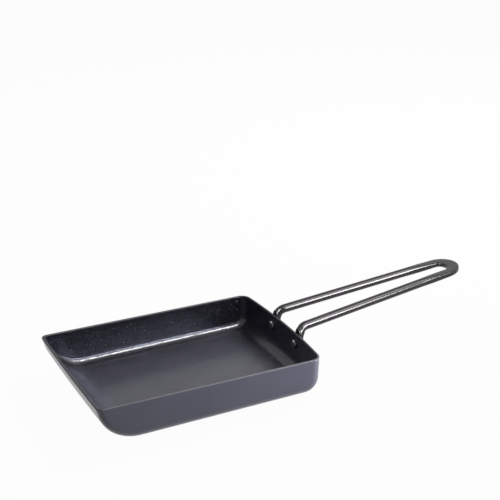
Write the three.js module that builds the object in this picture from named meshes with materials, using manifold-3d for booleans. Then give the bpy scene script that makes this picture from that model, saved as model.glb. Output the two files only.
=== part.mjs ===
// Small rectangular omelette-style pan with a riveted rod handle.
//
// Millimetres, +Z up, +X from the pan towards the tip of the handle. The origin is the middle of the
// flat underside, on which the pan stands. The pan is one pressed sheet: its long sides and its back
// wall are nearly upright, its front wall flares out on a large radius so that food slides off, and
// the rim runs slightly downhill towards the handle. The handle is one steel rod: it goes up the
// outside of the back wall, bends over the rim, runs out along both sides of a long narrow loop and is
// pressed flat round the tip. Its two ends are pressed into pads, and one rivet holds each of them.

import * as THREE from 'three';
import { mergeVertices } from 'three/addons/utils/BufferGeometryUtils.js';
import Module from 'manifold-3d';

const wasm = await Module();
wasm.setup();

const DEGREE = Math.PI / 180;

// Pan, outside sizes
const RIM_LENGTH = 194.8;
const RIM_WIDTH = 140;
const FRONT_HEIGHT = 33.75;
const BACK_HEIGHT = 30.9;
const WALL = 2;
const DRAFT = 2 * DEGREE;
const FRONT_FLARE = 16 * DEGREE;
const FRONT_RADIUS = 35;
const BACK_RADIUS = 13;
const EDGE_RADIUS = 8;
const FRONT_CORNER_RADIUS = 5;
const FRONT_BOW = 0.8;
const BACK_BOW = 4;
const LIP_ROUND = 0.7;

// Handle
const ROD_DIAMETER = 7.5;
const ROD_SPACING = 38.4;
const ROD_LIFT = 3.8;
const HANDLE_REACH = 173;
const HANDLE_RISE = 5.67 * DEGREE;
const BEND_RADIUS = 7.6;
const LOOP_RADIUS = 11.6;
const BAR_WIDTH = 9;
const TIP_WIDTH = 11.4;
const TIP_THICKNESS = 4;
const TIP_BLEND = 32;
const BAR_SQUARENESS = 6;
const PAD_WIDTH = 9;
const PAD_THICKNESS = 4;
const PAD_TAIL = 6;
const PAD_END_TURN = 10 * DEGREE;
const BEND_OPENS = 0.5;

// Rivets
const RIVET_SPACING = 40.8;
const RIVET_DROP = 10;
const SHANK_DIAMETER = 4.2;
const HEAD_DIAMETER = 8;
const HEAD_HEIGHT = 1.9;
const HEAD_EDGE = 0.5;
const TAIL_DIAMETER = 7.2;
const TAIL_HEIGHT = 1.6;

// Clearances
const SEAT_GAP = 0.3;
const HOLE_CLEARANCE = 0.3;

// Steps of the curved surfaces
const WALL_STEPS = 4;
const FRONT_ARC_STEPS = 12;
const BASE_STEPS = 8;
const BACK_ARC_STEPS = 8;
const CROSS_STEPS = 12;
const FILLET_STEPS = 6;
const SIDE_STEPS = 2;
const LIP_STEPS = 5;
const ROD_SIDES = 24;
const BEND_STEPS = 9;
const STRAIGHT_STEPS = 3;
const BLEND_STEPS = 8;
const LOOP_STEPS = 12;
const PAD_STEPS = 6;
const RIVET_SIDES = 24;
const DOME_STEPS = 5;

// Where the profile's straight lines and arcs meet
const HALF_WIDTH = RIM_WIDTH / 2;
const RIM_SLOPE = (BACK_HEIGHT - FRONT_HEIGHT) / RIM_LENGTH;
const FRONT_FOOT = Math.min(FRONT_RADIUS, (FRONT_HEIGHT - 2 * LIP_ROUND) / (1 - Math.sin(FRONT_FLARE)));
const BACK_FOOT = Math.min(BACK_RADIUS, (BACK_HEIGHT - 2 * LIP_ROUND) / (1 - Math.sin(DRAFT)));
const EDGE_FOOT = Math.min(EDGE_RADIUS, BACK_FOOT);
const FRONT_TANGENT = FRONT_FOOT * Math.tan((Math.PI / 2 - FRONT_FLARE) / 2);
const BACK_TANGENT = BACK_FOOT * Math.tan((Math.PI / 2 - DRAFT) / 2);
const FRONT_OVERHANG = FRONT_TANGENT + FRONT_HEIGHT * Math.tan(FRONT_FLARE);
const BACK_OVERHANG = BACK_TANGENT + BACK_HEIGHT * Math.tan(DRAFT);
const HALF_BASE = (RIM_LENGTH - FRONT_OVERHANG - BACK_OVERHANG) / 2;
const FRONT_RIM_X = -HALF_BASE - FRONT_OVERHANG;
const BACK_RIM_X = HALF_BASE + BACK_OVERHANG;

const { lerp, smoothstep } = THREE.MathUtils;

function rimHeight(x) {
  return FRONT_HEIGHT + RIM_SLOPE * (x - FRONT_RIM_X);
}

// Pushes the triangles of a grid of points, its rows joined in order. The faces look towards
// (along a row) x (from row to row).
function addGrid(triangles, rows) {
  for (let i = 0; i + 1 < rows.length; i += 1) {
    for (let j = 0; j + 1 < rows[i].length; j += 1) {
      const [a, b] = [rows[i][j], rows[i][j + 1]];
      const [c, d] = [rows[i + 1][j + 1], rows[i + 1][j]];
      triangles.push(a, b, c, a, c, d);
    }
  }
}

// Pushes a fan that closes a ring of points round its middle.
function addCap(triangles, ring) {
  const middle = new THREE.Vector3();
  ring.forEach((point) => middle.addScaledVector(point, 1 / ring.length));
  ring.forEach((point, j) => triangles.push(middle, point, ring[(j + 1) % ring.length]));
}

// Merges the corners that triangles share and leaves out those that have shrunk to a line.
function welded(geometry) {
  geometry.deleteAttribute('normal');
  geometry.deleteAttribute('uv');
  const merged = mergeVertices(geometry, 1e-4);
  const corners = merged.index.array;
  const kept = [];
  for (let i = 0; i < corners.length; i += 3) {
    const [a, b, c] = corners.slice(i, i + 3);
    if (a !== b && b !== c && c !== a) {
      kept.push(a, b, c);
    }
  }
  merged.setIndex(kept);
  return merged;
}

function fromTriangles(triangles) {
  return welded(new THREE.BufferGeometry().setFromPoints(triangles));
}

function solidOf(geometry) {
  return new wasm.Manifold(new wasm.Mesh({
    numProp: 3,
    vertProperties: new Float32Array(geometry.attributes.position.array),
    triVerts: new Uint32Array(geometry.index.array),
  }));
}

function subtract(geometry, cutters) {
  let solid = solidOf(geometry);
  cutters.forEach((cutter) => {
    solid = solid.subtract(solidOf(cutter));
  });
  const mesh = solid.getMesh();
  const result = new THREE.BufferGeometry();
  result.setAttribute('position', new THREE.BufferAttribute(mesh.vertProperties, 3));
  result.setIndex(new THREE.BufferAttribute(mesh.triVerts, 1));
  return result;
}

// Pan

// The lengthwise profile of the pan, moved inwards by inset: each station has its point (x, z), the
// angle at which the fillet along the long edge leans into the pan there, the radius of that fillet,
// and how much of the front wall's and the back wall's bow it takes.
function profile(inset) {
  const stations = [];
  const add = (x, z, lean, radius, front, back) => {
    stations.push({ x, z, lean, radius: radius - inset, front, back });
  };
  const backLean = Math.PI - DRAFT;
  const rimLean = Math.atan(RIM_SLOPE);
  const arc = (middleX, radius, lean) => ({
    x: middleX - (radius - inset) * Math.cos(lean),
    z: radius - (radius - inset) * Math.sin(lean),
  });

  const frontFoot = arc(-HALF_BASE, FRONT_FOOT, FRONT_FLARE);
  const frontDown = (inset * (Math.sin(FRONT_FLARE) - RIM_SLOPE * Math.cos(FRONT_FLARE)) + LIP_ROUND)
    / (Math.cos(FRONT_FLARE) + RIM_SLOPE * Math.sin(FRONT_FLARE));
  const frontTop = {
    x: FRONT_RIM_X + inset * Math.cos(FRONT_FLARE) + frontDown * Math.sin(FRONT_FLARE),
    z: FRONT_HEIGHT + inset * Math.sin(FRONT_FLARE) - frontDown * Math.cos(FRONT_FLARE),
  };
  for (let i = 0; i < WALL_STEPS; i += 1) {
    const t = i / WALL_STEPS;
    const x = lerp(frontTop.x, frontFoot.x, t);
    const z = lerp(frontTop.z, frontFoot.z, t);
    add(x, z, lerp(rimLean, FRONT_FLARE, t), FRONT_CORNER_RADIUS, 1, 0);
  }
  for (let i = 0; i < FRONT_ARC_STEPS; i += 1) {
    const t = i / FRONT_ARC_STEPS;
    const lean = lerp(FRONT_FLARE, Math.PI / 2, t);
    const point = arc(-HALF_BASE, FRONT_FOOT, lean);
    add(point.x, point.z, lean, lerp(FRONT_CORNER_RADIUS, EDGE_FOOT, smoothstep(t, 0, 1)), 1, 0);
  }
  for (let i = 0; i < BASE_STEPS; i += 1) {
    const t = i / BASE_STEPS;
    const ramp = smoothstep(t, 0, 1);
    add(lerp(-HALF_BASE, HALF_BASE, t), inset, Math.PI / 2, EDGE_FOOT, 1 - ramp, ramp);
  }
  for (let i = 0; i < BACK_ARC_STEPS; i += 1) {
    const lean = lerp(Math.PI / 2, backLean, i / BACK_ARC_STEPS);
    const point = arc(HALF_BASE, BACK_FOOT, lean);
    add(point.x, point.z, lean, EDGE_FOOT, 0, 1);
  }
  const backFoot = arc(HALF_BASE, BACK_FOOT, backLean);
  const backDown = (inset * (Math.sin(DRAFT) + RIM_SLOPE * Math.cos(DRAFT)) + LIP_ROUND)
    / (Math.cos(DRAFT) - RIM_SLOPE * Math.sin(DRAFT));
  const backTop = {
    x: BACK_RIM_X - inset * Math.cos(DRAFT) - backDown * Math.sin(DRAFT),
    z: BACK_HEIGHT + inset * Math.sin(DRAFT) - backDown * Math.cos(DRAFT),
  };
  for (let i = 0; i <= WALL_STEPS; i += 1) {
    const t = i / WALL_STEPS;
    const x = lerp(backFoot.x, backTop.x, t);
    const z = lerp(backFoot.z, backTop.z, t);
    add(x, z, lerp(backLean, Math.PI + rimLean, t), EDGE_FOOT, 0, 1);
  }
  return stations;
}

// One skin of the pan as rows of points from the front rim to the back rim. Each row crosses the pan
// from the rim on the -Y side, down that side, round its fillet, over the profile and up the other
// side. The bows of the end walls and the draft of the sides are added to the finished points.
function panSkin(inset) {
  const stations = profile(inset);
  const halfWidth = HALF_WIDTH - inset;
  const fillets = stations.map(({ x, z, lean, radius }) => new THREE.Vector2(
    x + radius * Math.cos(lean),
    z + radius * Math.sin(lean),
  ));
  const lengths = [0];
  fillets.slice(1).forEach((point, i) => lengths.push(lengths[i] + point.distanceTo(fillets[i])));
  const rimEnds = SIDE_STEPS * FRONT_CORNER_RADIUS;
  const rimStart = fillets[0].x + rimEnds;
  const rimEnd = fillets[fillets.length - 1].x - rimEnds;

  return stations.map((station, i) => {
    const { x, z, lean, radius, front, back } = station;
    const along = lengths[i] / lengths[lengths.length - 1];
    const rimX = lerp(rimStart, rimEnd, along);
    const side = [];
    for (let k = 0; k < SIDE_STEPS; k += 1) {
      const t = k / SIDE_STEPS;
      const height = lerp(rimHeight(rimX) - LIP_ROUND, fillets[i].y, t);
      side.push(new THREE.Vector3(lerp(rimX, fillets[i].x, t), halfWidth, height));
    }
    for (let k = 0; k <= FILLET_STEPS; k += 1) {
      const turn = (k / FILLET_STEPS) * Math.PI / 2;
      const rise = radius * (1 - Math.sin(turn));
      const y = halfWidth - radius * (1 - Math.cos(turn));
      side.push(new THREE.Vector3(x + rise * Math.cos(lean), y, z + rise * Math.sin(lean)));
    }
    const row = side.map((point) => new THREE.Vector3(point.x, -point.y, point.z));
    for (let k = 1; k < CROSS_STEPS; k += 1) {
      row.push(new THREE.Vector3(x, lerp(-1, 1, k / CROSS_STEPS) * (halfWidth - radius), z));
    }
    row.push(...side.reverse());
    row.forEach((point) => {
      const across = (point.y / HALF_WIDTH) ** 2;
      const depth = rimHeight(point.x) - point.z;
      point.x += across * (front * FRONT_BOW - back * BACK_BOW);
      point.y *= 1 - Math.tan(DRAFT) * depth / HALF_WIDTH;
    });
    return row;
  });
}

// The rim of a skin as one closed loop of points.
function rimLoop(rows) {
  const last = rows.length - 1;
  const far = rows.slice(1, last).map((row) => row[row.length - 1]);
  const near = rows.slice(1, last).map((row) => row[0]);
  return [...rows[0], ...far, ...rows[last].slice().reverse(), ...near.reverse(), rows[0][0]];
}

// The pan's two skins, joined by a rounded lip round the rim.
function panShell() {
  const outer = panSkin(0);
  const inner = panSkin(WALL);
  const triangles = [];
  addGrid(triangles, outer);
  addGrid(triangles, inner.slice().reverse());
  const outerRim = rimLoop(outer);
  const innerRim = rimLoop(inner);
  const lip = [];
  for (let k = 0; k <= LIP_STEPS; k += 1) {
    const turn = (k / LIP_STEPS) * Math.PI;
    const across = (1 - Math.cos(turn)) / 2;
    lip.push(outerRim.map((point, j) => {
      const crest = point.clone().lerp(innerRim[j], across);
      crest.z += LIP_ROUND * Math.sin(turn);
      return crest;
    }));
  }
  addGrid(triangles, lip.reverse());
  return fromTriangles(triangles);
}

// Rivet seats

// A point on the outside of the back wall, at the height of a rivet on the side that sign names,
// with the wall's outward normal there.
function rivetSeat(sign) {
  const y = sign * RIVET_SPACING / 2;
  const bow = BACK_BOW * (y / HALF_WIDTH) ** 2;
  const x = BACK_RIM_X - RIVET_DROP * Math.tan(DRAFT) - bow;
  const normal = new THREE.Vector3(1, 2 * BACK_BOW * y / HALF_WIDTH ** 2, -Math.tan(DRAFT)).normalize();
  return { point: new THREE.Vector3(x, y, BACK_HEIGHT - RIVET_DROP), normal };
}

// A round cutter through the back wall and the pad at a rivet's seat.
function rivetCutter({ point, normal }) {
  const radius = SHANK_DIAMETER / 2 + HOLE_CLEARANCE;
  const reach = 2 * (WALL + SEAT_GAP + PAD_THICKNESS);
  const cutter = welded(new THREE.CylinderGeometry(radius, radius, 2 * reach, RIVET_SIDES));
  cutter.applyQuaternion(new THREE.Quaternion().setFromUnitVectors(new THREE.Vector3(0, 1, 0), normal));
  return cutter.translate(point.x, point.y, point.z);
}

// Handle

const AHEAD = new THREE.Vector3(Math.cos(HANDLE_RISE), 0, Math.sin(HANDLE_RISE));
const ACROSS = new THREE.Vector3(0, 1, 0);

// A station along the rod: its place and direction, the axis of its width and the size of its section.
// Flat goes from 0, a circle, to 1, a pressed bar with rounded corners.
function station(point, tangent, side, width, thickness, flat) {
  return { point, tangent, side, width, thickness, power: lerp(2, BAR_SQUARENESS, flat) };
}

// Stations of half the handle, on the +Y side, from the end of the pad to the middle of the tip.
function halfHandle() {
  const { point: seat, normal } = rivetSeat(1);
  const padMiddle = seat.clone().addScaledVector(normal, SEAT_GAP + PAD_THICKNESS / 2);
  const up = new THREE.Vector3(0, 0, 1).addScaledVector(normal, -normal.z).normalize();
  const padSide = up.clone().cross(normal);

  // The rod's line starts in the middle plane of the pads. The loop's middle lies on the handle's centre
  // line, and each rod runs to where it touches the loop's circle.
  const rodHeight = BACK_HEIGHT + ROD_LIFT;
  const rodRoot = new THREE.Vector3(padMiddle.x, ROD_SPACING / 2, rodHeight);
  rodRoot.x -= rodRoot.clone().sub(padMiddle).dot(normal) / normal.x;
  const tipAlong = (BACK_RIM_X + HANDLE_REACH - rodRoot.x) / Math.cos(HANDLE_RISE);
  const loopAlong = tipAlong - TIP_WIDTH / 2 - LOOP_RADIUS;
  const sight = Math.hypot(loopAlong, rodRoot.y);
  const taper = Math.atan2(rodRoot.y, loopAlong) - Math.asin(LOOP_RADIUS / sight);
  const loopMiddle = new THREE.Vector3(rodRoot.x, 0, rodHeight).addScaledVector(AHEAD, loopAlong);
  const turned = (angle) => ({
    tangent: AHEAD.clone().multiplyScalar(Math.cos(angle)).addScaledVector(ACROSS, -Math.sin(angle)),
    side: AHEAD.clone().multiplyScalar(Math.sin(angle)).addScaledVector(ACROSS, Math.cos(angle)),
  });
  const rod = turned(taper);

  const stations = [];

  // Pad: a round end, then the flat round the rivet
  const padEnd = padMiddle.clone().addScaledVector(up, -PAD_TAIL);
  for (let i = 0; i <= PAD_STEPS; i += 1) {
    const turn = lerp(PAD_END_TURN, Math.PI / 2, i / PAD_STEPS);
    const point = padEnd.clone().addScaledVector(up, PAD_WIDTH / 2 * (1 - Math.cos(turn)));
    stations.push(station(point, up, padSide, PAD_WIDTH * Math.sin(turn), PAD_THICKNESS, 1));
  }

  // Bend over the rim, from the leg to the rod, opening from flat to round on its way
  const turn = up.angleTo(rod.tangent);
  const reach = BEND_RADIUS * Math.tan(turn / 2);
  const pull = BEND_RADIUS * Math.tan(turn / 4) * 4 / 3;
  const legTop = padMiddle.clone().addScaledVector(up, (rodHeight - padMiddle.z) / up.z);
  const bendStart = legTop.clone().addScaledVector(up, -reach);
  const rodStart = rodRoot.clone().addScaledVector(rod.tangent, reach);
  const bend = new THREE.CubicBezierCurve3(
    bendStart,
    bendStart.clone().addScaledVector(up, pull),
    rodStart.clone().addScaledVector(rod.tangent, -pull),
    rodStart,
  );
  for (let i = 0; i <= BEND_STEPS; i += 1) {
    const t = i / BEND_STEPS;
    const flat = 1 - smoothstep(t, 0, BEND_OPENS);
    const tangent = bend.getTangent(t);
    const side = padSide.clone().lerp(rod.side, t);
    side.addScaledVector(tangent, -side.dot(tangent)).normalize();
    const width = lerp(ROD_DIAMETER, PAD_WIDTH, flat);
    const thickness = lerp(ROD_DIAMETER, PAD_THICKNESS, flat);
    stations.push(station(bend.getPoint(t), tangent, side, width, thickness, flat));
  }

  // Straight rod, pressed thinner and a little wider over its last stretch
  const rodEnd = loopMiddle.clone().addScaledVector(rod.side, LOOP_RADIUS);
  const rodLength = rodEnd.distanceTo(rodStart);
  const round = rodLength - TIP_BLEND;
  const flatAt = (along) => smoothstep(along, round, rodLength + LOOP_RADIUS * Math.PI / 4);
  const addRod = (along) => {
    const flat = flatAt(along);
    const width = lerp(ROD_DIAMETER, BAR_WIDTH, flat);
    const thickness = lerp(ROD_DIAMETER, TIP_THICKNESS, flat);
    const point = rodStart.clone().addScaledVector(rod.tangent, along);
    stations.push(station(point, rod.tangent, rod.side, width, thickness, flat));
  };
  for (let i = 1; i <= STRAIGHT_STEPS; i += 1) {
    addRod(round * i / STRAIGHT_STEPS);
  }
  for (let i = 1; i < BLEND_STEPS; i += 1) {
    addRod(round + TIP_BLEND * i / BLEND_STEPS);
  }

  // Half of the loop's end, which widens towards the tip
  for (let i = 0; i <= LOOP_STEPS; i += 1) {
    const angle = lerp(taper, Math.PI / 2, i / LOOP_STEPS);
    const { tangent, side } = turned(angle);
    const point = loopMiddle.clone().addScaledVector(side, LOOP_RADIUS);
    const flat = flatAt(rodLength + LOOP_RADIUS * (angle - taper));
    const spread = (Math.sin(angle - taper) / Math.cos(taper)) ** 2;
    const width = lerp(lerp(ROD_DIAMETER, BAR_WIDTH, flat), TIP_WIDTH, spread);
    const thickness = lerp(ROD_DIAMETER, TIP_THICKNESS, flat);
    stations.push(station(point, tangent, side, width, thickness, flat));
  }
  return stations;
}

// A ring of points round the rod: a circle where it is round, a rounded bar where it is flat.
function rodRing({ point, tangent, side, width, thickness, power }) {
  const third = tangent.clone().cross(side);
  const rounded = (value) => Math.sign(value) * Math.abs(value) ** (2 / power);
  const ring = [];
  for (let j = 0; j < ROD_SIDES; j += 1) {
    const angle = (j / ROD_SIDES) * 2 * Math.PI;
    ring.push(point.clone()
      .addScaledVector(side, width / 2 * rounded(Math.cos(angle)))
      .addScaledVector(third, thickness / 2 * rounded(Math.sin(angle))));
  }
  return ring;
}

function handleLoop() {
  const mirror = new THREE.Vector3(1, -1, 1);
  const half = halfHandle();
  const otherHalf = half.slice(0, -1).reverse().map(({ point, tangent, side, ...size }) => ({
    point: point.clone().multiply(mirror),
    tangent: tangent.clone().multiply(mirror).negate(),
    side: side.clone().multiply(mirror),
    ...size,
  }));
  const rings = [...half, ...otherHalf].map(rodRing);
  const triangles = [];
  addGrid(triangles, rings.map((ring) => [...ring, ring[0]]));
  addCap(triangles, rings[0].slice().reverse());
  addCap(triangles, rings[rings.length - 1]);
  return fromTriangles(triangles);
}

// Rivets

// A domed head inside the pan, a shank through the wall and the pad, and a lower dome set on the pad.
function rivet({ point, normal }) {
  const innerSeat = -WALL - SEAT_GAP;
  const outerSeat = SEAT_GAP + PAD_THICKNESS + SEAT_GAP;
  const outline = [];
  for (let i = 0; i <= DOME_STEPS; i += 1) {
    const turn = (i / DOME_STEPS) * Math.PI / 2;
    const dome = HEAD_EDGE + (HEAD_HEIGHT - HEAD_EDGE) * Math.cos(turn);
    outline.push(new THREE.Vector2(HEAD_DIAMETER / 2 * Math.sin(turn), innerSeat - dome));
  }
  outline.push(new THREE.Vector2(HEAD_DIAMETER / 2, innerSeat));
  outline.push(new THREE.Vector2(SHANK_DIAMETER / 2, innerSeat));
  outline.push(new THREE.Vector2(SHANK_DIAMETER / 2, outerSeat));
  for (let i = 0; i <= DOME_STEPS; i += 1) {
    const turn = (i / DOME_STEPS) * Math.PI / 2;
    const dome = TAIL_HEIGHT * Math.sin(turn);
    outline.push(new THREE.Vector2(TAIL_DIAMETER / 2 * Math.cos(turn), outerSeat + dome));
  }
  const geometry = welded(new THREE.LatheGeometry(outline, RIVET_SIDES));
  geometry.applyQuaternion(new THREE.Quaternion().setFromUnitVectors(new THREE.Vector3(0, 1, 0), normal));
  return geometry.translate(point.x, point.y, point.z);
}

// Assembly

function part(name, geometry, color, roughness, metalness) {
  const material = new THREE.MeshStandardMaterial({ color, roughness, metalness });
  const mesh = new THREE.Mesh(geometry, material);
  mesh.name = name;
  return mesh;
}

const farSeat = rivetSeat(1);
const nearSeat = rivetSeat(-1);
const cutters = [farSeat, nearSeat].map(rivetCutter);

const pan = new THREE.Group();
pan.name = 'omelette_pan';
pan.add(part('pan_body', subtract(panShell(), cutters), 0x3f3e47, 0.45, 0.4));
pan.add(part('handle_loop', subtract(handleLoop(), cutters), 0x5c5a5f, 0.25, 1));
pan.add(part('rivet_far', rivet(farSeat), 0x26262a, 0.3, 0.6));
pan.add(part('rivet_near', rivet(nearSeat), 0x26262a, 0.3, 0.6));

export default pan;
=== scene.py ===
# %% [markdown]
# # A small rectangular pan with a looped rod handle
#
# This lesson dresses a plain CAD model of a frying pan. The CAD model gives the frame: where each piece
# sits and how large it is. Here every piece is made again as a fine, smooth surface, because the CAD
# solids are made of flat facets that a glossy finish would show at once.

# %% Load the frame
import bpy
import numpy as np
from mathutils import Matrix, Vector


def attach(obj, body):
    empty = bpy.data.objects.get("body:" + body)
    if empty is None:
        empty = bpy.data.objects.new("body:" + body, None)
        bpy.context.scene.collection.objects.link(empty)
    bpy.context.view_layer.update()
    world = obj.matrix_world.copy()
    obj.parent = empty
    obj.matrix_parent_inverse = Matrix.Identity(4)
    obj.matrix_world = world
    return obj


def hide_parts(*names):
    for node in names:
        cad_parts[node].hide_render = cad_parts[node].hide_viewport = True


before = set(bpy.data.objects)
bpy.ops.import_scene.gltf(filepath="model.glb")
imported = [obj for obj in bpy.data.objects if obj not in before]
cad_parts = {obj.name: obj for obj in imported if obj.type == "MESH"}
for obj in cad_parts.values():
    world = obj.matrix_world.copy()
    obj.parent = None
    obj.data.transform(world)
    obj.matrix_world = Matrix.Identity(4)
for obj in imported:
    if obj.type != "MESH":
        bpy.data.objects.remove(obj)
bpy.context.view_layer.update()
print("nodes in the frame:", sorted(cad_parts))

# %% [markdown]
# ## Sizes
#
# All sizes are in millimetres, as a maker would write them, and become metres only when a mesh is made.
# The pan stands on the origin with its handle along +X. The sheet is 2 mm thick. Its front wall leans
# out on a large radius, the other walls lean out by a press draft of two degrees, and the rim runs
# slightly downhill towards the handle.

# %% Sizes of the pan
MM = 0.001
RIM_LENGTH, RIM_WIDTH = 194.8, 140.0
FRONT_HEIGHT, BACK_HEIGHT = 33.75, 30.9
WALL = 2.0
DRAFT, FRONT_FLARE = np.radians(2.0), np.radians(16.0)
FRONT_RADIUS, BACK_RADIUS, EDGE_RADIUS = 35.0, 13.0, 8.0
FRONT_CORNER_RADIUS = 5.0
FRONT_BOW, BACK_BOW = 0.8, 4.0
LIP_ROUND = 0.7

HALF_WIDTH = RIM_WIDTH / 2
RIM_SLOPE = (BACK_HEIGHT - FRONT_HEIGHT) / RIM_LENGTH
FRONT_REACH = FRONT_RADIUS * np.tan((np.pi / 2 - FRONT_FLARE) / 2)
FRONT_OVERHANG = FRONT_REACH + FRONT_HEIGHT * np.tan(FRONT_FLARE)
BACK_OVERHANG = BACK_RADIUS * np.tan((np.pi / 2 - DRAFT) / 2) + BACK_HEIGHT * np.tan(DRAFT)
HALF_BASE = (RIM_LENGTH - FRONT_OVERHANG - BACK_OVERHANG) / 2
FRONT_RIM_X = -HALF_BASE - FRONT_OVERHANG
BACK_RIM_X = HALF_BASE + BACK_OVERHANG
print(f"flat base {2 * HALF_BASE:.1f} mm long, rim from x = {FRONT_RIM_X:.1f} to {BACK_RIM_X:.1f} mm")

# %% [markdown]
# ## From arrays to meshes
#
# A smooth surface is a grid of points: one array of shape (rows, columns, 3). Its faces need no loop
# either, because the four corners of every face are the same grid of numbers, shifted by one row and one
# column. `foreach_set` then hands the arrays to Blender in one go. A rod or a rivet is a stack of rings,
# so its grid is wrapped round, and a fan of triangles closes each end.


# %% Shares and directions
def lerp(a, b, t):
    """The value that lies the share t of the way from a to b."""
    return a + (b - a) * t


def smooth(t):
    """A share that leaves 0 and reaches 1 gently: 3 t squared less 2 t cubed, t held between 0 and 1."""
    t = np.clip(t, 0, 1)
    return t * t * (3 - 2 * t)


def unit(vectors):
    """Each vector divided by its own length."""
    vectors = np.asarray(vectors, float)
    return vectors / np.linalg.norm(vectors, axis=-1, keepdims=True)


# %% Grids and rings to meshes
def grid_quads(numbers):
    """Faces of a grid of vertex numbers: each joins a number, its right neighbour and the two below.

    They look towards (along a row) x (from row to row).
    """
    a, b = numbers[:-1, :-1], numbers[:-1, 1:]
    c, d = numbers[1:, 1:], numbers[1:, :-1]
    return np.stack([a, b, c, d], axis=-1).reshape(-1, 4)


def make_piece(name, points, quads, fans=()):
    """A smooth mesh object from points in millimetres, four-cornered faces and three-cornered fans."""
    fans = np.asarray(fans, int).reshape(-1, 3)
    corners = np.concatenate([quads.ravel(), fans.ravel()]).astype(np.int32)
    sizes = np.concatenate([np.full(len(quads), 4), np.full(len(fans), 3)]).astype(np.int32)
    starts = np.concatenate([[0], np.cumsum(sizes)[:-1]]).astype(np.int32)
    mesh = bpy.data.meshes.new(name)
    mesh.vertices.add(len(points))
    mesh.vertices.foreach_set("co", (np.asarray(points) * MM).astype(np.float32).ravel())
    mesh.loops.add(len(corners))
    mesh.loops.foreach_set("vertex_index", corners)
    mesh.polygons.add(len(sizes))
    mesh.polygons.foreach_set("loop_start", starts)
    mesh.update(calc_edges=True)
    mesh.validate()
    mesh.polygons.foreach_set("use_smooth", np.ones(len(sizes), bool))
    piece = bpy.data.objects.new(name, mesh)
    bpy.context.scene.collection.objects.link(piece)
    print(f"{name}: {len(points)} points, {len(sizes)} faces")
    return piece


def ringed_piece(name, rings, poles):
    """A closed piece from rings of points: faces between the rings, and a fan from each pole to its ring."""
    numbers = np.arange(rings[..., 0].size).reshape(rings.shape[:2])
    wrapped = np.hstack([numbers, numbers[:, :1]])
    first_pole = np.full(rings.shape[1], numbers.size)
    last_pole = first_pole + 1
    fans = np.concatenate([
        np.stack([first_pole, wrapped[0, 1:], wrapped[0, :-1]], axis=1),
        np.stack([last_pole, wrapped[-1, :-1], wrapped[-1, 1:]], axis=1)])
    return make_piece(name, np.concatenate([rings.reshape(-1, 3), poles]), grid_quads(wrapped), fans)


# %% [markdown]
# ## The profile of the pan
#
# Cut the pan along its middle and you see one line: down the flared front wall, round a large arc, along
# the flat base, round a tighter arc and up the back wall. The same function draws the outside (inset 0)
# and the inside (inset by the sheet), so the wall keeps its thickness all the way. At each station it
# also says how the fillet along the long edges leans there and what radius it has.

# %% The ends of the profile's arcs and walls
WALL_STEPS, FRONT_ARC_STEPS, BASE_STEPS, BACK_ARC_STEPS = 16, 40, 44, 22


def rim_height(x):
    """Height of the rim plane: a straight fall from the front height to the back height."""
    return FRONT_HEIGHT + RIM_SLOPE * (x - FRONT_RIM_X)


def foot_arc(middle_x, radius, inset, lean):
    """Points of an arc that stands on the base: its middle lies one radius above the base."""
    return middle_x - (radius - inset) * np.cos(lean), radius - (radius - inset) * np.sin(lean)


def wall_top(rim_x, height, flare, inset, side):
    """Where a leaning wall, moved in by inset, meets the plane one lip height under the rim.

    The plane falls by RIM_SLOPE along x; side is +1 for the front wall and -1 for the back wall.
    """
    fall = side * RIM_SLOPE
    rise = inset * (np.sin(flare) - fall * np.cos(flare))
    down = (rise + LIP_ROUND) / (np.cos(flare) + fall * np.sin(flare))
    x = rim_x + side * (inset * np.cos(flare) + down * np.sin(flare))
    return x, height + inset * np.sin(flare) - down * np.cos(flare)


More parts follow.
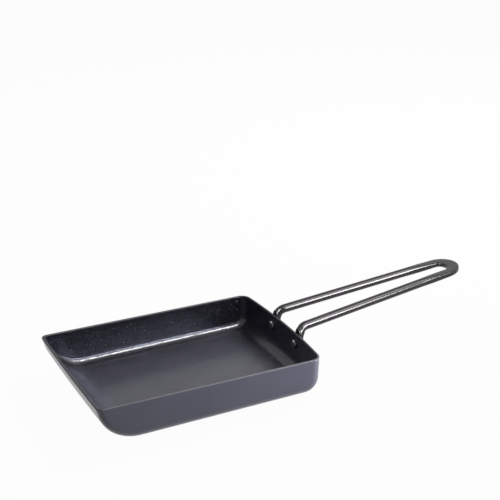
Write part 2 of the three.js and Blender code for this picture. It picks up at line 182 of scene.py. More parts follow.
# %% The profile as arrays
def profile(inset):
    """The profile's stations as rows x, z, lean, fillet radius, front bow share, back bow share.

    Each list below holds the front wall, the front arc, the base, the back arc and the back wall.
    """
    wall = np.arange(WALL_STEPS) / WALL_STEPS
    front = np.arange(FRONT_ARC_STEPS) / FRONT_ARC_STEPS
    base = np.arange(BASE_STEPS) / BASE_STEPS
    back = np.arange(BACK_ARC_STEPS) / BACK_ARC_STEPS
    upward = np.arange(WALL_STEPS + 1) / WALL_STEPS
    back_lean, rim_lean = np.pi - DRAFT, np.arctan(RIM_SLOPE)

    top_x, top_z = wall_top(FRONT_RIM_X, FRONT_HEIGHT, FRONT_FLARE, inset, 1)
    foot_x, foot_z = foot_arc(-HALF_BASE, FRONT_RADIUS, inset, FRONT_FLARE)
    front_lean = lerp(FRONT_FLARE, np.pi / 2, front)
    arc_x, arc_z = foot_arc(-HALF_BASE, FRONT_RADIUS, inset, front_lean)
    turn_lean = lerp(np.pi / 2, back_lean, back)
    turn_x, turn_z = foot_arc(HALF_BASE, BACK_RADIUS, inset, turn_lean)
    heel_x, heel_z = foot_arc(HALF_BASE, BACK_RADIUS, inset, back_lean)
    end_x, end_z = wall_top(BACK_RIM_X, BACK_HEIGHT, DRAFT, inset, -1)

    x = [lerp(top_x, foot_x, wall), arc_x, lerp(-HALF_BASE, HALF_BASE, base), turn_x,
         lerp(heel_x, end_x, upward)]
    z = [lerp(top_z, foot_z, wall), arc_z, inset + 0 * base, turn_z, lerp(heel_z, end_z, upward)]
    lean = [lerp(rim_lean, FRONT_FLARE, wall), front_lean, np.pi / 2 + 0 * base, turn_lean,
            lerp(back_lean, np.pi + rim_lean, upward)]
    radius = [FRONT_CORNER_RADIUS + 0 * wall, lerp(FRONT_CORNER_RADIUS, EDGE_RADIUS, smooth(front)),
              EDGE_RADIUS + 0 * base, EDGE_RADIUS + 0 * back, EDGE_RADIUS + 0 * upward]
    front_bow = [1 + 0 * wall, 1 + 0 * front, 1 - smooth(base), 0 * back, 0 * upward]
    back_bow = [0 * wall, 0 * front, smooth(base), 1 + 0 * back, 1 + 0 * upward]
    x, z, lean, radius = (np.concatenate(part) for part in (x, z, lean, radius))
    return np.stack([x, z, lean, radius - inset, np.concatenate(front_bow), np.concatenate(back_bow)])


print("profile stations:", profile(0).shape[1])

# %% [markdown]
# ## The skins of the pan
#
# A pressed pan has no sharp inner edges. Each station of the profile is carried across the pan: from the
# rim on one side down the wall, round a fillet, over the floor and up the other side. One such skin is
# the outside and one, inset by the sheet, is the inside. A Solidify modifier could thicken one skin, but
# two skins keep each radius as the press leaves it.

# %% The skins as grids
SIDE_STEPS, FILLET_STEPS, CROSS_STEPS = 12, 14, 56
RIM_CORNER = 2 * FRONT_CORNER_RADIUS


def pan_skin(inset):
    """One skin of the pan as a grid of rows from the front rim to the back rim.

    A row runs straight from its rim point to the middle of its fillet, round a quarter of the fillet and
    level over the profile. Then x moves by the bow of the end walls times (y / half width) squared, and
    y shrinks with depth by the draft.
    """
    x, z, lean, radius, front_bow, back_bow = profile(inset)[:, :, None]
    half = HALF_WIDTH - inset
    middle_x, middle_z = x + radius * np.cos(lean), z + radius * np.sin(lean)
    steps = np.hypot(np.diff(middle_x, axis=0), np.diff(middle_z, axis=0))
    along = np.concatenate([[[0.0]], np.cumsum(steps, axis=0)]) / steps.sum()
    rim_x = lerp(middle_x[0] + RIM_CORNER, middle_x[-1] - RIM_CORNER, along)
    rim_z = rim_height(rim_x) - LIP_ROUND

    down = np.arange(SIDE_STEPS) / SIDE_STEPS
    turn = np.linspace(0, np.pi / 2, FILLET_STEPS + 1)
    rise = radius * (1 - np.sin(turn))
    side_x = np.hstack([lerp(rim_x, middle_x, down), x + rise * np.cos(lean)])
    side_y = np.hstack([half + 0 * (rim_x + down), half - radius * (1 - np.cos(turn))])
    side_z = np.hstack([lerp(rim_z, middle_z, down), z + rise * np.sin(lean)])
    across = lerp(-1, 1, np.arange(1, CROSS_STEPS) / CROSS_STEPS)

    grid_x = np.hstack([side_x, x + 0 * across, side_x[:, ::-1]])
    grid_y = np.hstack([-side_y, across * (half - radius), side_y[:, ::-1]])
    grid_z = np.hstack([side_z, z + 0 * across, side_z[:, ::-1]])
    depth = rim_height(grid_x) - grid_z
    grid_x = grid_x + (grid_y / HALF_WIDTH) ** 2 * (front_bow * FRONT_BOW - back_bow * BACK_BOW)
    grid_y = grid_y * (1 - np.tan(DRAFT) * depth / HALF_WIDTH)
    return np.stack([grid_x, grid_y, grid_z], axis=-1)


outer_skin, inner_skin = pan_skin(0), pan_skin(WALL)
print("each skin:", outer_skin.shape[0], "rows of", outer_skin.shape[1], "points")

# %% [markdown]
# ## The lip
#
# The trimmed edge of the sheet is brushed round, and it catches the light as a thin pale line. Here it is
# half an ellipse that runs round the rim and joins the two skins, so the pan is one closed mesh. The skin
# points at the rim are shared with the lip, not doubled, so no seam can open.

# %% The pan's mesh
LIP_STEPS = 8


def rim_numbers(numbers):
    """The numbers round the edge of a grid as a ring: first row, last column, last row, first column."""
    return np.concatenate([numbers[0], numbers[1:, -1], numbers[-1, -2::-1], numbers[-2:0:-1, 0]])


outer_numbers = np.arange(outer_skin[..., 0].size).reshape(outer_skin.shape[:2])
inner_numbers = outer_numbers + outer_numbers.size
outer_rim, inner_rim = rim_numbers(outer_numbers), rim_numbers(inner_numbers)
skin_points = np.concatenate([outer_skin.reshape(-1, 3), inner_skin.reshape(-1, 3)])

lip_turn = np.linspace(0, np.pi, LIP_STEPS + 1)[1:-1, None, None]
lip_points = lerp(skin_points[outer_rim], skin_points[inner_rim], (1 - np.cos(lip_turn)) / 2)
lip_points = lip_points + np.array([0, 0, LIP_ROUND]) * np.sin(lip_turn)
lip_numbers = len(skin_points) + np.arange(lip_points[..., 0].size).reshape(lip_points.shape[:2])
lip_rings = np.vstack([outer_rim, lip_numbers, inner_rim])
lip_rings = np.hstack([lip_rings, lip_rings[:, :1]])

pan_points = np.concatenate([skin_points, lip_points.reshape(-1, 3)])
pan_quads = np.concatenate([
    grid_quads(outer_numbers), grid_quads(inner_numbers[::-1]), grid_quads(lip_rings[::-1])])
pan_body = make_piece("pan_body_fine", pan_points, pan_quads)

# %% [markdown]
# ## The rivet seats
#
# Two rivets hold the handle on the bowed back wall, so each one stands square to the wall at its own
# spot. The seat gives that spot on the wall's outside and the direction in which the wall faces there.
# The handle's pads and the rivets both start from it.

# %% Seats on the back wall
RIVET_SPACING, RIVET_DROP = 40.8, 10.0
SEAT_GAP = 0.3


def rivet_seat(side):
    """The point of a rivet on the back wall's outside, and the wall's outward direction there.

    The wall's x falls with the draft times the drop below the rim and with the bow times (y / half)
    squared; the direction comes from the slopes of those two terms.
    """
    y = side * RIVET_SPACING / 2
    x = BACK_RIM_X - RIVET_DROP * np.tan(DRAFT) - BACK_BOW * (y / HALF_WIDTH) ** 2
    facing = unit([1, 2 * BACK_BOW * y / HALF_WIDTH ** 2, -np.tan(DRAFT)])
    return np.array([x, y, BACK_HEIGHT - RIVET_DROP]), facing


FAR, NEAR = 1, -1
for hand in (FAR, NEAR):
    print("rivet seat at", rivet_seat(hand)[0].round(1), "facing", rivet_seat(hand)[1].round(3))

# %% [markdown]
# ## The path of the handle
#
# The handle is one steel rod, bent double. A maker saws a rod, presses both ends into flat pads, bends it
# into a narrow loop, presses the loop's end flat and bends the legs down. So the whole handle is one
# section carried along one path: pad, bend over the rim, straight run, end of the loop. The path is
# worked out for the far side and mirrored for the near one. First come the points where it turns.

# %% Sizes of the handle
ROD_DIAMETER, ROD_SPACING, ROD_LIFT = 7.5, 38.4, 3.8
HANDLE_REACH, HANDLE_RISE = 172.95, np.radians(5.67)
BEND_RADIUS, BEND_OPENS = 7.6, 0.5
LOOP_RADIUS, BAR_WIDTH, TIP_WIDTH, TIP_THICKNESS, TIP_BLEND = 11.6, 9.0, 11.4, 4.0, 32.0
PAD_WIDTH, PAD_THICKNESS, PAD_TAIL = 9.0, 4.0, 6.0
PAD_END_TURN = np.radians(10)
AHEAD = np.array([np.cos(HANDLE_RISE), 0, np.sin(HANDLE_RISE)])
ACROSS = np.array([0.0, 1.0, 0.0])


def loop_turned(angle):
    """Direction and width axis of the rod, turned by an angle from straight ahead towards the middle."""
    c, s = np.cos(angle)[..., None], np.sin(angle)[..., None]
    return c * AHEAD - s * ACROSS, s * AHEAD + c * ACROSS


# %% Where the rod turns
far_seat, facing = rivet_seat(FAR)
pad_middle = far_seat + facing * (SEAT_GAP + PAD_THICKNESS / 2)
up = unit(np.array([0, 0, 1.0]) - facing * facing[2])
pad_side = np.cross(up, facing)

rod_height = BACK_HEIGHT + ROD_LIFT
root = np.array([pad_middle[0], ROD_SPACING / 2, rod_height])
root[0] -= (root - pad_middle) @ facing / facing[0]
tip_along = (BACK_RIM_X + HANDLE_REACH - root[0]) / np.cos(HANDLE_RISE)
loop_along = tip_along - TIP_WIDTH / 2 - LOOP_RADIUS
taper = np.arctan2(root[1], loop_along) - np.arcsin(LOOP_RADIUS / np.hypot(loop_along, root[1]))
loop_middle = np.array([root[0], 0, rod_height]) + AHEAD * loop_along
rod_ahead, rod_side = loop_turned(np.array(taper))

bend_angle = np.arccos(up @ rod_ahead)
bend_reach = BEND_RADIUS * np.tan(bend_angle / 2)
bend_start = pad_middle + up * ((rod_height - pad_middle[2]) / up[2] - bend_reach)
rod_start = root + rod_ahead * bend_reach
rod_length = np.linalg.norm(loop_middle + rod_side * LOOP_RADIUS - rod_start)
press_start = rod_length - TIP_BLEND
press_length = TIP_BLEND + LOOP_RADIUS * np.pi / 4
print(f"rod straight for {rod_length:.1f} mm, each side tapers by {np.degrees(taper):.2f} degrees")

# %% [markdown]
# ## The stretches of the handle
#
# Each stretch of the path is a table with one row for each station: where the rod is, where it heads,
# along which axis its width lies, how wide and thick it is there, and how flat it is pressed, from 0 for
# round to 1 for a flat bar. The tables are stacked at the end, and the width and the flatness agree where
# two stretches meet.


# %% Pad and bend
def stations(points, tangents, sides, widths, thicknesses, flats):
    """One table of rod stations: place, direction, axis of the width, width, thickness and flatness."""
    count = len(points)
    vectors = [np.broadcast_to(part, (count, 3)) for part in (points, tangents, sides)]
    numbers = [np.broadcast_to(part, (count,))[:, None] for part in (widths, thicknesses, flats)]
    return np.hstack(vectors + numbers)


def bezier(corners, t):
    """Place and direction on a cubic Bezier curve: Bernstein weights on its corners and their steps."""
    t = t[:, None]
    weights = np.hstack([(1 - t) ** 3, 3 * t * (1 - t) ** 2, 3 * t ** 2 * (1 - t), t ** 3])
    slopes = np.hstack([(1 - t) ** 2, 2 * t * (1 - t), t ** 2])
    return weights @ corners, unit(slopes @ np.diff(corners, axis=0))


def pad_stretch(steps):
    """The pad's half-round end: its width is the pad's times sin(turn), up to a quarter turn."""
    turn = np.linspace(PAD_END_TURN, np.pi / 2, steps)
    points = pad_middle - up * PAD_TAIL + up * (PAD_WIDTH / 2 * (1 - np.cos(turn)))[:, None]
    return stations(points, up, pad_side, PAD_WIDTH * np.sin(turn), PAD_THICKNESS, 1)


def bend_stretch(steps):
    """The bend from the leg to the rod: a Bezier curve, close to an arc, that opens from flat to round.

    As for an arc, its inner corners lie 4/3 tan(angle / 4) radii along the leg and along the rod.
    """
    pull = BEND_RADIUS * np.tan(bend_angle / 4) * 4 / 3
    corners = np.array([bend_start, bend_start + up * pull, rod_start - rod_ahead * pull, rod_start])
    t = np.linspace(0, 1, steps)
    points, directions = bezier(corners, t)
    sides = lerp(pad_side, rod_side, t[:, None])
    sides = unit(sides - directions * np.sum(sides * directions, axis=1, keepdims=True))
    flat = 1 - smooth(t / BEND_OPENS)
    widths = lerp(ROD_DIAMETER, PAD_WIDTH, flat)
    return stations(points, directions, sides, widths, lerp(ROD_DIAMETER, PAD_THICKNESS, flat), flat)


# %% Rod and loop
def rod_stretch(round_steps, press_steps):
    """The straight rod: round up to where the press starts, then flatter by the smooth share behind it."""
    round_part = np.linspace(0, press_start, round_steps)[1:]
    pressed_part = np.linspace(press_start, rod_length, press_steps)[1:-1]
    along = np.concatenate([round_part, pressed_part])
    flat = smooth((along - press_start) / press_length)
    points = rod_start + along[:, None] * rod_ahead
    widths = lerp(ROD_DIAMETER, BAR_WIDTH, flat)
    return stations(points, rod_ahead, rod_side, widths, lerp(ROD_DIAMETER, TIP_THICKNESS, flat), flat)


def loop_stretch(steps):
    """Half of the loop's end: an arc up to the tip whose width grows by the squared sine of its turn."""
    angle = np.linspace(taper, np.pi / 2, steps)
    directions, sides = loop_turned(angle)
    flat = smooth((TIP_BLEND + LOOP_RADIUS * (angle - taper)) / press_length)
    spread = (np.sin(angle - taper) / np.cos(taper)) ** 2
    widths = lerp(lerp(ROD_DIAMETER, BAR_WIDTH, flat), TIP_WIDTH, spread)
    thicknesses = lerp(ROD_DIAMETER, TIP_THICKNESS, flat)
    return stations(loop_middle + sides * LOOP_RADIUS, directions, sides, widths, thicknesses, flat)


PAD_STEPS, BEND_STEPS, ROUND_STEPS, PRESS_STEPS, LOOP_STEPS = 16, 40, 24, 36, 48
far_half = np.vstack([pad_stretch(PAD_STEPS), bend_stretch(BEND_STEPS),
                      rod_stretch(ROUND_STEPS, PRESS_STEPS), loop_stretch(LOOP_STEPS)])
print("stations on one side of the handle:", len(far_half))

# %% [markdown]
# ## The handle's surface
#
# A round section and a flat bar with rounded corners are two cases of one curve, the superellipse: power
# 2 is a circle, and higher powers fill the corners. Letting the power follow the flatness makes the
# pressed ends grow out of the round rod with no seam. The near side is the far side mirrored and walked
# backwards, so the rings run on from pad to pad.

# %% The handle's mesh
ROD_SIDES, BAR_SQUARENESS = 56, 6.0
MIRROR = np.array([1, -1, 1])


def rod_rings(table):
    """Rings round the rod: width x sign(cos) |cos|^(2/p) along the side, thickness x the same of sin."""
    points, tangents, sides = table[:, None, 0:3], table[:, None, 3:6], table[:, None, 6:9]
    widths, thicknesses = table[:, 9:10, None], table[:, 10:11, None]
    power = 2 / lerp(2, BAR_SQUARENESS, table[:, 11:12])
    angle = np.arange(ROD_SIDES) / ROD_SIDES * 2 * np.pi
    c, s = np.cos(angle), np.sin(angle)
    c, s = np.sign(c) * np.abs(c) ** power, np.sign(s) * np.abs(s) ** power
    thirds = np.cross(tangents, sides)
    return points + widths / 2 * c[..., None] * sides + thicknesses / 2 * s[..., None] * thirds


near_half = far_half[-2::-1].copy()
near_half[:, 0:3] *= MIRROR
near_half[:, 3:6] *= -MIRROR
near_half[:, 6:9] *= MIRROR
rings = rod_rings(np.vstack([far_half, near_half]))
handle = ringed_piece("handle_fine", rings, rings[[0, -1]].mean(axis=1))

# %% [markdown]
# ## Rivets
#
# A rivet is turned on a lathe: one outline spun round an axis. The domed head sits inside the pan, the
# shank goes through wall and pad, and the tail is hammered to a low dome outside. The outline starts and
# ends on the axis, and these two points are the poles of the ringed piece. The step from head to shank is
# a real edge, so it is marked sharp and the smooth shading stops there.

# %% Rivets
SHANK_DIAMETER, HEAD_DIAMETER, TAIL_DIAMETER = 4.2, 8.0, 7.2
HEAD_HEIGHT, HEAD_EDGE, TAIL_HEIGHT = 1.9, 0.5, 1.6
RIVET_SIDES, DOME_STEPS = 48, 14
SHARP_ANGLE = np.radians(50)


def spun_piece(name, outline, seat, facing):
    """An outline of (radius, distance) spun round the facing direction, its two ends being the poles."""
    first = unit(np.cross(facing, [0, 0, 1.0]))
    second = np.cross(facing, first)
    angle = np.arange(RIVET_SIDES) / RIVET_SIDES * 2 * np.pi
    spokes = np.cos(angle)[:, None] * first + np.sin(angle)[:, None] * second
    body = outline[1:-1, None]
    poles = seat + outline[[0, -1], 1:] * facing
    return ringed_piece(name, seat + body[..., :1] * spokes + body[..., 1:] * facing, poles)


def rivet_outline():
    """Radius and distance along the rivet: an elliptic head, its edge, the shank and an elliptic tail."""
    turn = np.linspace(0, np.pi / 2, DOME_STEPS)
    inner_seat, outer_seat = -WALL - SEAT_GAP, SEAT_GAP + PAD_THICKNESS + SEAT_GAP
    dome = inner_seat - HEAD_EDGE - (HEAD_HEIGHT - HEAD_EDGE) * np.cos(turn)
    head = np.stack([HEAD_DIAMETER / 2 * np.sin(turn), dome], axis=1)
    shank = np.array([[HEAD_DIAMETER / 2, inner_seat], [SHANK_DIAMETER / 2, inner_seat],
                      [SHANK_DIAMETER / 2, outer_seat], [TAIL_DIAMETER / 2, outer_seat]])
    tail = np.stack([TAIL_DIAMETER / 2 * np.cos(turn), outer_seat + TAIL_HEIGHT * np.sin(turn)], axis=1)
    return np.concatenate([head, shank, tail[1:]])


rivet_far = spun_piece("rivet_far_fine", rivet_outline(), *rivet_seat(FAR))
rivet_near = spun_piece("rivet_near_fine", rivet_outline(), *rivet_seat(NEAR))
for rivet in (rivet_far, rivet_near):
    rivet.data.set_sharp_from_angle(angle=SHARP_ANGLE)

# %% [markdown]
# ## Rivet holes
#
# The shanks need holes through the wall and through the pads, a little wider than the shanks. A grid of
# points can't have a hole as simply as a drill can make one, so the Boolean modifier takes a plain
# cylinder out of each piece. It is applied at once, and the two drills are thrown away.

# %% Drill the wall and the pads
HOLE_CLEARANCE = 0.3
DRILL_START, DRILL_END = -6.0, 9.0


def drill(piece, cutters):
    """Subtracts the cutters from a piece and keeps the result as its mesh."""
    for cutter in cutters:
        cut = piece.modifiers.new("hole", "BOOLEAN")
        cut.operation = "DIFFERENCE"
        cut.solver = "EXACT"
        cut.object = cutter
    seen = piece.evaluated_get(bpy.context.evaluated_depsgraph_get())
    drilled = bpy.data.meshes.new_from_object(seen)
    piece.modifiers.clear()
    piece.data = drilled
    drilled.set_sharp_from_angle(angle=SHARP_ANGLE)
    print(piece.name, "drilled:", len(drilled.polygons), "faces")


bore = SHANK_DIAMETER / 2 + HOLE_CLEARANCE
bore_outline = np.array([[0, DRILL_START], [bore, DRILL_START], [bore, DRILL_END], [0, DRILL_END]])
drills = [spun_piece(f"drill_{hand}", bore_outline, *rivet_seat(hand)) for hand in (FAR, NEAR)]
drill(pan_body, drills)
drill(handle, drills)
for cutter in drills:
    bpy.data.objects.remove(cutter)

# %% [markdown]
# ## Who rides on what
#
# Nothing on this pan moves, so all pieces ride on the one body of the frame. Each fine piece stands for
# the CAD node that it replaces, and that node is hidden.

# %% Bodies, nodes and slots
FINE_PIECES = [
    (pan_body, "pan_body", "nonstick_pan"),
    (handle, "handle_loop", "gunmetal_rod"),
    (rivet_far, "rivet_far", "dark_rivet"),
    (rivet_near, "rivet_near", "dark_rivet"),
]
for piece, node, slot in FINE_PIECES:
    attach(piece, "root")
    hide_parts(node)
print("pieces that replace CAD nodes:", [piece.name for piece, _, _ in FINE_PIECES])

# %% [markdown]
# ## Finishes
#
# A finish is more than a colour. Each material here reads the piece's own Object coordinates, in metres,
# so a noise of scale 1000 has grains about a millimetre wide. Small helpers do what repeats: they add a
# node, make a noise, and turn a noise into a range of numbers, a range of colours or a bump.

# %% Materials and their nodes
NOISE_LOW, NOISE_HIGH = 0.3, 0.7


def node_adder(tree):
    """A function that adds a node to a tree: an input that is a socket is linked, any other is set."""
    def add(kind, inputs=(), **settings):
        node = tree.nodes.new(kind)
        for key, value in settings.items():
            setattr(node, key, value)
        for key, value in dict(inputs).items():
            if isinstance(value, bpy.types.NodeSocket):
                tree.links.new(value, node.inputs[key])
            else:
                node.inputs[key].default_value = value
        return node

    return add


def finish(name, constants):
    """A new material with constants on its shader's sockets, and functions that add and link nodes."""
    material = bpy.data.materials.new(name)
    material.use_nodes = True
    tree = material.node_tree
    shader = tree.nodes["Principled BSDF"]
    for socket, value in constants.items():
        shader.inputs[socket].default_value = value

    def link(output, socket):
        tree.links.new(output, shader.inputs[socket])

    return material, node_adder(tree), link


# %% Patterns
def noise(add, scale, detail, roughness=0.5):
    """A noise on the piece's Object coordinates, whose grains are about one metre divided by the scale."""
    place = add("ShaderNodeTexCoord").outputs["Object"]
    inputs = {"Vector": place, "Scale": scale, "Detail": detail, "Roughness": roughness}
    return add("ShaderNodeTexNoise", inputs).outputs["Fac"]


def between(add, value, low, high):
    """A number that goes from low to high as a noise goes through its usual range."""
    inputs = {"Value": value, "From Min": NOISE_LOW, "From Max": NOISE_HIGH, "To Min": low, "To Max": high}
    return add("ShaderNodeMapRange", inputs).outputs["Result"]


def shade(add, value, dark, pale):
    """A colour that goes from dark to pale as a noise goes through its usual range."""
    node = add("ShaderNodeValToRGB", {"Fac": value})
    first, last = node.color_ramp.elements
    first.position, last.position = NOISE_LOW, NOISE_HIGH
    first.color, last.color = (*dark, 1), (*pale, 1)
    return node.outputs["Color"]


def bump(add, height, strength, distance, **below):
    """The surface's direction, tilted by the slope of a height pattern that is distance metres high."""
    inputs = {"Height": height, "Strength": strength, "Distance": distance, **below}
    return add("ShaderNodeBump", inputs).outputs["Normal"]


# %% [markdown]
# ### Non-stick coat
#
# The inside is sprayed with a non-stick coat: nearly black with a breath of blue, under a satin skin that
# mirrors the white room softly, and more of it at flat angles. A sprayed coat dries with a fine orange
# peel, and small pimples in it sparkle where they catch a lamp. A painted speckle would stay the same
# from every side, so the sparkle is a bump: only the highest grains of a noise rise above the skin.

# %% Non-stick coat of the inside
nonstick, add, link = finish("nonstick_coat", {
    "IOR": 1.2, "Specular Tint": (0.80, 0.78, 1.0, 1), "Coat Weight": 0.74, "Coat Roughness": 0.21})
cloud = noise(add, 45.0, 4.0, 0.6)
peel = noise(add, 600.0, 1.0)
grain = noise(add, 1000.0, 1.0)
pimples = add("ShaderNodeMapRange", {"Value": grain, "From Min": 0.58, "From Max": 0.72})
link(shade(add, cloud, (0.048, 0.0475, 0.073), (0.064, 0.063, 0.095)), "Base Color")
link(between(add, peel, 0.34, 0.42), "Roughness")
waves = bump(add, peel, 0.1, 0.0002)
skin = bump(add, pimples.outputs["Result"], 0.9, 0.00018, Normal=waves)
link(skin, "Normal")
link(skin, "Coat Normal")
print("non-stick coat:", len(nonstick.node_tree.nodes), "nodes")

# %% [markdown]
# ### Slate enamel
#
# The outside has a baked coat in slate grey with a breath of blue, without the pimples of the inside. It
# is the darker coat of the two. The near wall still looks lighter than the far one, because it mirrors
# the white table, and the far wall mirrors only the dark floor of the pan.

# %% Slate enamel of the outside
slate, add, link = finish("slate_enamel", {
    "IOR": 1.3, "Specular Tint": (0.77, 0.78, 1.0, 1), "Coat Weight": 0.75, "Coat Roughness": 0.3})
peel = noise(add, 1300.0, 2.0)
cloud = noise(add, 30.0, 4.0, 0.6)
link(shade(add, cloud, (0.0245, 0.025, 0.039), (0.0325, 0.033, 0.051)), "Base Color")
link(between(add, peel, 0.34, 0.46), "Roughness")
link(bump(add, peel, 0.2, 0.0002), "Normal")
print("slate enamel:", len(slate.node_tree.nodes), "nodes")

# %% [markdown]
# ### Rim
#
# A pressed pan is trimmed round its rim, and the cut edge is only brushed smooth. The coat stays thin and
# matt there, so the rim draws a soft pale line instead of a sharp glint.

# %% Matt coat of the rim
rim_coat, add, link = finish("rim_coat", {"IOR": 1.4})
grain = noise(add, 900.0, 2.0)
link(shade(add, grain, (0.036, 0.036, 0.044), (0.052, 0.052, 0.062)), "Base Color")
link(between(add, grain, 0.48, 0.6), "Roughness")
print("rim coat:", len(rim_coat.node_tree.nodes), "nodes")

# %% [markdown]
# ### Gunmetal rod
#
# The handle is dipped in a dark, glossy coat. It is smooth enough to draw a soft box as a pale line along
# the rod, and a little rougher in places where hands and cloths go. The colour is nearly black, because
# what one sees on a glossy rod is mostly the room.

# %% Gunmetal coat of the handle
gunmetal, add, link = finish("gunmetal_coat", {"IOR": 1.5, "Specular Tint": (1.0, 0.95, 1.0, 1)})
ripple = noise(add, 420.0, 3.0)
wear = noise(add, 60.0, 4.0, 0.6)
link(shade(add, wear, (0.012, 0.0115, 0.012), (0.018, 0.017, 0.018)), "Base Color")
link(between(add, wear, 0.18, 0.26), "Roughness")
link(bump(add, ripple, 0.01, 0.0002), "Normal")
print("gunmetal:", len(gunmetal.node_tree.nodes), "nodes")

# %% [markdown]
# ### Rivets
#
# The rivets are dark metal with a thin coat, smoother than the wall round them. A metallic shader mirrors
# the room in its own dark colour, so a domed head is nearly black with one small spot of light.

# %% Dark coat of the rivets
rivet_coat, add, link = finish("rivet_coat", {"Metallic": 0.8})
grain = noise(add, 900.0, 3.0)
link(shade(add, grain, (0.10, 0.10, 0.11), (0.14, 0.14, 0.15)), "Base Color")
link(between(add, grain, 0.26, 0.36), "Roughness")
link(bump(add, grain, 0.15, 0.0001), "Normal")
print("rivets:", len(rivet_coat.node_tree.nodes), "nodes")

# %% [markdown]
# ### Which face gets which finish
#
# The pan is one mesh with three finishes, so each of its faces holds the number of its material. The
# drilled mesh no longer has the order of the grid, so the number comes from where a face lies and where
# it looks, for all faces at once.

# %% Give each piece its finish
ABOVE_FLOOR = np.array([-5.0, 0.0, 40.0])
LIP_MARGIN = 0.1
OUTSIDE, INSIDE, RIM = 0, 1, 2


def pan_finishes(mesh):
    """The finish of each face of the pan: the outside's, the inside's or the rim's.

    An inside face looks towards a point above the middle of the floor: the way to that point, measured
    along the face's own direction, is positive. A rim face lies higher than the foot of the rounded lip.
    """
    count = len(mesh.polygons)
    centres, directions = np.empty(3 * count), np.empty(3 * count)
    mesh.polygons.foreach_get("center", centres)
    mesh.polygons.foreach_get("normal", directions)
    centres, directions = centres.reshape(-1, 3) / MM, directions.reshape(-1, 3)
    inward = np.sum((ABOVE_FLOOR - centres) * directions, axis=1)
    lip_foot = rim_height(centres[:, 0]) - LIP_ROUND - LIP_MARGIN
    sides = np.where(inward > 0, INSIDE, OUTSIDE)
    return np.where(centres[:, 2] > lip_foot, RIM, sides).astype(np.int32)


FINISHES = [
    (pan_body, (slate, nonstick, rim_coat)),
    (handle, (gunmetal,)),
    (rivet_far, (rivet_coat,)),
    (rivet_near, (rivet_coat,)),
]
for piece, materials in FINISHES:
    piece.data.materials.clear()
    for material in materials:
        piece.data.materials.append(material)
    print(piece.name, "is finished with", [material.name for material in materials])
pan_body.data.polygons.foreach_set("material_index", pan_finishes(pan_body.data))

# %% [markdown]
# ## Floor
#
# The photograph stands in pure white. The floor is pale paint, and for what the camera and mirrors see it
# is mixed with a plain white glow of strength 1, so that it is as white as the room while a soft part of
# the pan's shadow stays. A Light Path node tells the two kinds of ray apart.

# %% A wide white floor
FLOOR_HALF, FLOOR_DROP = 3000.0, 0.3
GLOW_SHARE = 0.97
WHITE = (1, 1, 1, 1)
CORNERS = np.array([[-1, -1, 0], [1, -1, 0], [1, 1, 0], [-1, 1, 0]])
floor = make_piece("floor", CORNERS * FLOOR_HALF - [0, 0, FLOOR_DROP], np.array([[0, 1, 2, 3]]))


def seen_directly(add):
    """1 for a ray from the camera, a mirror or clear material, and 0 for a ray that gathers soft light."""
    rays = add("ShaderNodeLightPath").outputs
    some = add("ShaderNodeMath", {0: rays["Is Camera Ray"], 1: rays["Is Glossy Ray"]}, operation="MAXIMUM")
    every = {0: some.outputs[0], 1: rays["Is Transmission Ray"]}
    return add("ShaderNodeMath", every, operation="MAXIMUM").outputs[0]


paint, add, link = finish("floor_paint", {
    "Base Color": (0.86, 0.86, 0.86, 1), "Roughness": 0.9, "Specular IOR Level": 0.0})
paint_nodes = paint.node_tree.nodes
glow = add("ShaderNodeEmission", {"Color": WHITE, "Strength": 1.0})
share = add("ShaderNodeMath", {0: seen_directly(add), 1: GLOW_SHARE}, operation="MULTIPLY")
matt = paint_nodes["Principled BSDF"].outputs[0]
mixed = add("ShaderNodeMixShader", {0: share.outputs[0], 1: matt, 2: glow.outputs[0]})
paint.node_tree.links.new(mixed.outputs[0], paint_nodes["Material Output"].inputs["Surface"])
floor.data.materials.append(paint)

# %% [markdown]
# ## Surroundings
#
# The world is the white room. The camera and the mirrors see it plain white, and that white in the coat
# gives the pan much of its shape. As soft light it gives next to nothing, because light from all sides
# would flatten the walls. The lamps do that work.

# %% A white room
SOFT_LIGHT = 0.02
world = bpy.data.worlds.new("white_room")
bpy.context.scene.world = world
world.use_nodes = True
room = world.node_tree
add = node_adder(room)
strength = add("ShaderNodeMapRange", {"Value": seen_directly(add), "To Min": SOFT_LIGHT, "To Max": 1.0})
background = room.nodes["Background"]
room.links.new(strength.outputs["Result"], background.inputs["Strength"])
background.inputs["Color"].default_value = WHITE
print("the room lights softly with a strength of", SOFT_LIGHT)

# %% [markdown]
# ## Lights
#
# A studio lights dark, glossy things by what they mirror. A soft box is placed where a surface will
# mirror it towards the camera, and a flag on a stand keeps it off everything else. Light linking is
# Blender's flag: a lamp shines only on the pieces of its collection. The places and sizes of lamps are in
# metres, and all but one look at the heart of the pan.

# %% Soft boxes and flags
HEART = (0.02, 0.0, 0.03)


def soft_box(name, place, size, power, aim=HEART):
    """A rectangular lamp at place that looks at aim; its light falls off with distance."""
    lamp = bpy.data.lights.new(name, "AREA")
    lamp.shape = "RECTANGLE"
    lamp.size, lamp.size_y = size
    lamp.energy = power
    holder = bpy.data.objects.new(name, lamp)
    holder.location = place
    holder.rotation_euler = (Vector(aim) - Vector(place)).to_track_quat("-Z", "Y").to_euler()
    holder.visible_camera = False
    bpy.context.scene.collection.objects.link(holder)
    print(f"{name}: {power} W, {size[0]} x {size[1]} m")
    return holder


def shine_on(lamp, pieces):
    """Lets a lamp shine on some pieces alone."""
    lit = bpy.data.collections.new(f"lit by {lamp.name}")
    for piece in pieces:
        lit.objects.link(piece)
    lamp.light_linking.receiver_collection = lit


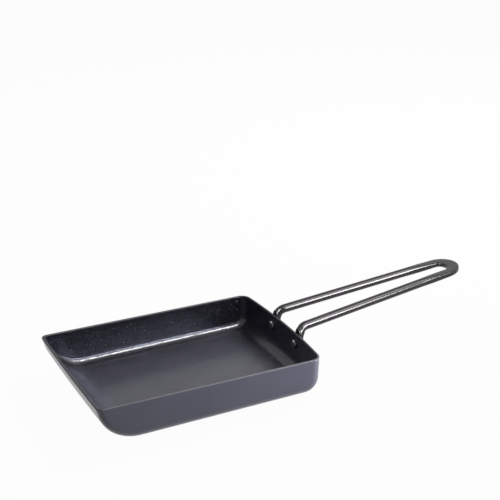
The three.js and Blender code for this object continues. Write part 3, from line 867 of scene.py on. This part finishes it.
# %% [markdown]
# ### Lamps of the pan
#
# The lamp at the side stands high behind the handle and lights the floor of the pan, and the back wall
# shades the floor next to it. The card is low at the right and brightens the near wall towards the
# handle. The strip draws the bright line along the fillet at the foot of the far wall, and the low lamp,
# a cool one, lifts that wall itself. These two show only as reflections, and only directly: with no
# bounces, they draw no second line on the floor.

# %% Light the pan
COOL = (0.72, 0.78, 1.0)
side = soft_box("side", (0.66, 0.36, 0.80), (0.6, 0.6), 8.8)
card = soft_box("card", (0.42, -0.28, 0.016), (0.25, 0.03), 6.6, aim=(0.09, -0.07, 0.016))
strip = soft_box("strip", (0.47, -0.85, 1.10), (0.8, 0.35), 48)
low = soft_box("low", (0.58, -1.2, 0.40), (0.6, 0.20), 16)
low.data.color = COOL
for lamp in (strip, low):
    lamp.visible_diffuse = False
    lamp.data.cycles.max_bounces = 0
for lamp in (card, strip, low):
    shine_on(lamp, [pan_body])
shine_on(side, [pan_body, rivet_far, rivet_near, floor])

# %% [markdown]
# ### Lamps of the handle and the rivets
#
# The line lamp draws the pale line along the rods, the sky lamp brightens their upper sides and the flat
# tip, and the leg lamp finds the bends over the rim. The lamp at the left puts the small spot of light on
# each rivet. All four show only as reflections.

# %% Light the handle and the rivets
line = soft_box("line", (0.62, -1.2, 0.60), (0.45, 0.65), 34)
sky = soft_box("sky", (0.50, -0.60, 1.30), (1.4, 0.8), 18)
left = soft_box("left", (-0.80, 1.00, 0.70), (1.0, 1.0), 15)
leg = soft_box("leg", (-0.95, -0.68, 0.75), (0.3, 0.9), 36)
for lamp in (line, sky, left, leg):
    lamp.visible_diffuse = False
for lamp in (line, sky, leg):
    shine_on(lamp, [handle])
shine_on(left, [rivet_far, rivet_near])

# %% [markdown]
# ## Camera
#
# The camera's place and lens were worked out from the pan itself: the corners of the rim in the
# photograph and the known rectangle of the real rim allow only one camera. It looks down by some 22
# degrees. A photograph gives the focal length in pixels, and the sensor's width turns it into
# millimetres.

# %% Set up the camera
CAMERA_PLACE = (-0.34424, -0.81299, 0.47862)
HEADING, PITCH, ROLL = np.radians([26.055, 22.447, 0.813])
SENSOR_MM = 36.0
FOCAL_PIXELS, PICTURE_PIXELS = 1202.87, 500

lens = bpy.data.cameras.new("camera")
lens.sensor_width = SENSOR_MM
lens.lens = FOCAL_PIXELS / PICTURE_PIXELS * SENSOR_MM
camera = bpy.data.objects.new("camera", lens)
heading = Matrix.Rotation(-HEADING, 4, "Z")
pitch = Matrix.Rotation(np.pi / 2 - PITCH, 4, "X")
roll = Matrix.Rotation(-ROLL, 4, "Z")
turn = heading @ pitch @ roll
camera.matrix_world = Matrix.Translation(CAMERA_PLACE) @ turn
bpy.context.scene.collection.objects.link(camera)
bpy.context.scene.camera = camera
bpy.context.scene.view_settings.view_transform = "Standard"
print(f"lens {lens.lens:.1f} mm")
